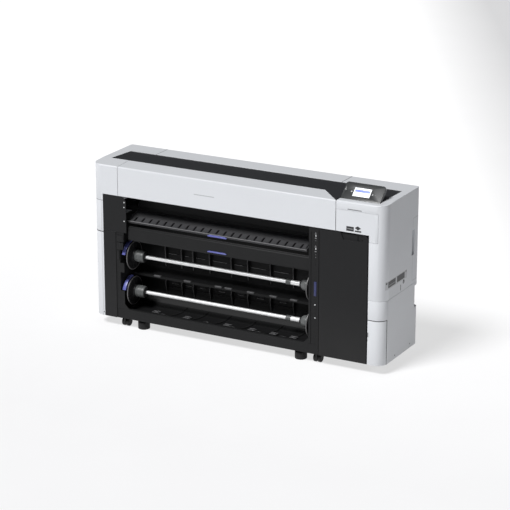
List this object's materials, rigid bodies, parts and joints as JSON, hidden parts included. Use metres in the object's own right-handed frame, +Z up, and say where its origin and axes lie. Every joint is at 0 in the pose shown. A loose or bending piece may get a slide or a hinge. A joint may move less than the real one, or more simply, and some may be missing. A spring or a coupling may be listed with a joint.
{
  "type": "large format plotter",
  "caption": "Floor standing wide paper printer with stacked roll bays, lift-up cover, ink bay, folding touch panel, casters and levelling feet.",
  "frame": {"origin": "floor level, under the centre of the machine", "axes": "+X to the right seen from the front, -Y to the front, +Z up"},
  "size_m": [1.91, 0.46, 1.0744],
  "materials": {
    "white_cover": "fine textured moulding",
    "charcoal_panel": "fine textured moulding",
    "frame_paint": "satin powder coat",
    "bright_steel": "ground and polished",
    "grey_plastic": "satin moulding",
    "blue_plastic": "satin moulding",
    "screen": "lit display behind a glossy cover",
    "black_rubber": "dull"
  },
  "bodies": {
    "chassis": {"left_side_frame": "frame_paint", "right_side_frame": "frame_paint", "front_base_beam": "frame_paint", "rear_base_beam": "frame_paint", "engine_deck": "frame_paint", "carriage_rail": "bright_steel", "drive_belt": "black_rubber", "capping_station": "grey_plastic", "left_column_lower": "white_cover", "left_column_middle": "white_cover", "left_end_cover": "white_cover", "right_end_cover": "white_cover", "right_front_panel": "white_cover", "right_column_cover": "white_cover", "rear_top_cover": "white_cover", "rear_cover": "frame_paint", "power_inlet": "black_rubber", "top_window": "charcoal_panel", "left_upper_panel": "charcoal_panel", "left_lower_panel": "charcoal_panel", "ink_rack": "charcoal_panel", "ink_cartridge_1": "grey_plastic", "ink_cartridge_2": "grey_plastic", "ink_cartridge_3": "grey_plastic", "ink_cartridge_4": "grey_plastic", "ink_cartridge_5": "grey_plastic", "ink_cartridge_6": "grey_plastic", "maintenance_box": "grey_plastic", "upper_cradle": "frame_paint", "lower_cradle": "frame_paint"},
    "front_cover": {"front_cover": "white_cover", "cover_inner_plate": "charcoal_panel"},
    "ink_door": {"ink_door": "charcoal_panel"},
    "maintenance_cover": {"maintenance_cover": "white_cover"},
    "control_panel": {"control_panel": "charcoal_panel", "touch_screen": "screen"},
    "power_button": {"power_button": "charcoal_panel"},
    "paper_guide": {"paper_guide": "frame_paint"},
    "roll_flap": {"roll_flap": "frame_paint"},
    "print_carriage": {"print_carriage": "charcoal_panel"},
    "motor_pulley": {"motor_pulley": "bright_steel"},
    "feed_roller": {"feed_roller": "black_rubber"},
    "left_foot": {"left_foot": "charcoal_panel"},
    "right_foot": {"right_foot": "charcoal_panel"},
    "upper_spindle": {"upper_spindle": "bright_steel", "upper_left_flange": "charcoal_panel"},
    "upper_right_flange": {"upper_right_flange": "charcoal_panel"},
    "upper_lock_lever": {"upper_lock_lever": "blue_plastic"},
    "lower_spindle": {"lower_spindle": "bright_steel", "lower_left_flange": "charcoal_panel"},
    "lower_right_flange": {"lower_right_flange": "charcoal_panel"},
    "lower_lock_lever": {"lower_lock_lever": "blue_plastic"},
    "front_left_caster": {"front_left_caster_fork": "charcoal_panel"},
    "front_left_wheels": {"front_left_caster_wheels": "charcoal_panel"},
    "front_right_caster": {"front_right_caster_fork": "charcoal_panel"},
    "front_right_wheels": {"front_right_caster_wheels": "charcoal_panel"},
    "rear_left_caster": {"rear_left_caster_fork": "charcoal_panel"},
    "rear_left_wheels": {"rear_left_caster_wheels": "charcoal_panel"},
    "rear_right_caster": {"rear_right_caster_fork": "charcoal_panel"},
    "rear_right_wheels": {"rear_right_caster_wheels": "charcoal_panel"}
  },
  "joints": [
    {"name": "front_cover_hinge", "type": "hinge", "parent": "chassis", "child": "front_cover", "pos_m": [0, -0.097, 1.003], "axis": [-1, 0, 0], "range_deg": [0, 75]},
    {"name": "ink_door_hinge", "type": "hinge", "parent": "chassis", "child": "ink_door", "pos_m": [0.853, -0.23, 0.44], "axis": [0, 0, 1], "range_deg": [0, 110]},
    {"name": "maintenance_cover_hinge", "type": "hinge", "parent": "chassis", "child": "maintenance_cover", "pos_m": [0.955, -0.182, 0.19], "axis": [0, 0, 1], "range_deg": [0, 90]},
    {"name": "panel_tilt", "type": "hinge", "parent": "chassis", "child": "control_panel", "pos_m": [0.777, -0.175, 0.994], "axis": [1, 0, 0], "range_deg": [-42, 18]},
    {"name": "power_button_press", "type": "slide", "parent": "control_panel", "child": "power_button", "axis": [0, 0.6691, -0.7431], "range_m": [0, 0.0015], "stiffness_N_per_m": 400, "springref_m": -0.0005},
    {"name": "paper_guide_hinge", "type": "hinge", "parent": "chassis", "child": "paper_guide", "pos_m": [0, -0.095, 0.705], "axis": [-1, 0, 0], "range_deg": [0, 30]},
    {"name": "roll_flap_hinge", "type": "hinge", "parent": "chassis", "child": "roll_flap", "pos_m": [0, -0.205, 0.632], "axis": [-1, 0, 0], "range_deg": [0, 60]},
    {"name": "upper_spindle_spin", "type": "hinge", "parent": "chassis", "child": "upper_spindle", "pos_m": [0, -0.13, 0.432], "axis": [1, 0, 0], "continuous": true},
    {"name": "upper_flange_slide", "type": "slide", "parent": "upper_spindle", "child": "upper_right_flange", "axis": [1, 0, 0], "range_m": [-0.85, 0]},
    {"name": "upper_lock_turn", "type": "hinge", "parent": "chassis", "child": "upper_lock_lever", "pos_m": [-0.754, -0.13, 0.432], "axis": [1, 0, 0], "range_deg": [0, 60]},
    {"name": "lower_spindle_spin", "type": "hinge", "parent": "chassis", "child": "lower_spindle", "pos_m": [0, -0.13, 0.211], "axis": [1, 0, 0], "continuous": true},
    {"name": "lower_flange_slide", "type": "slide", "parent": "lower_spindle", "child": "lower_right_flange", "axis": [1, 0, 0], "range_m": [-0.85, 0]},
    {"name": "lower_lock_turn", "type": "hinge", "parent": "chassis", "child": "lower_lock_lever", "pos_m": [-0.754, -0.13, 0.211], "axis": [1, 0, 0], "range_deg": [0, 60]},
    {"name": "front_left_swivel", "type": "hinge", "parent": "chassis", "child": "front_left_caster", "pos_m": [-0.76, -0.195, 0.054], "axis": [0, 0, 1], "continuous": true},
    {"name": "front_left_wheel_spin", "type": "hinge", "parent": "front_left_caster", "child": "front_left_wheels", "pos_m": [-0.76, -0.18, 0.026], "axis": [1, 0, 0], "continuous": true},
    {"name": "front_right_swivel", "type": "hinge", "parent": "chassis", "child": "front_right_caster", "pos_m": [0.525, -0.195, 0.054], "axis": [0, 0, 1], "continuous": true},
    {"name": "front_right_wheel_spin", "type": "hinge", "parent": "front_right_caster", "child": "front_right_wheels", "pos_m": [0.525, -0.18, 0.026], "axis": [1, 0, 0], "continuous": true},
    {"name": "rear_left_swivel", "type": "hinge", "parent": "chassis", "child": "rear_left_caster", "pos_m": [-0.76, 0.165, 0.054], "axis": [0, 0, 1], "continuous": true},
    {"name": "rear_left_wheel_spin", "type": "hinge", "parent": "rear_left_caster", "child": "rear_left_wheels", "pos_m": [-0.76, 0.18, 0.026], "axis": [1, 0, 0], "continuous": true},
    {"name": "rear_right_swivel", "type": "hinge", "parent": "chassis", "child": "rear_right_caster", "pos_m": [0.525, 0.165, 0.054], "axis": [0, 0, 1], "continuous": true},
    {"name": "rear_right_wheel_spin", "type": "hinge", "parent": "rear_right_caster", "child": "rear_right_wheels", "pos_m": [0.525, 0.18, 0.026], "axis": [1, 0, 0], "continuous": true},
    {"name": "carriage_slide", "type": "slide", "parent": "chassis", "child": "print_carriage", "axis": [1, 0, 0], "range_m": [-1.32, 0]},
    {"name": "motor_pulley_spin", "type": "hinge", "parent": "chassis", "child": "motor_pulley", "pos_m": [0.815, 0.06, 0.878], "axis": [0, 1, 0], "continuous": true},
    {"name": "feed_roller_spin", "type": "hinge", "parent": "chassis", "child": "feed_roller", "pos_m": [0, 0.105, 0.739], "axis": [1, 0, 0], "continuous": true},
    {"name": "left_foot_lift", "type": "slide", "parent": "chassis", "child": "left_foot", "axis": [0, 0, 1], "range_m": [0, 0.01]},
    {"name": "right_foot_lift", "type": "slide", "parent": "chassis", "child": "right_foot", "axis": [0, 0, 1], "range_m": [0, 0.01]}
  ],
  "couplings": [
    {"joint": "motor_pulley_spin", "follows": "carriage_slide", "rad_per_m": 68.966}
  ]
}
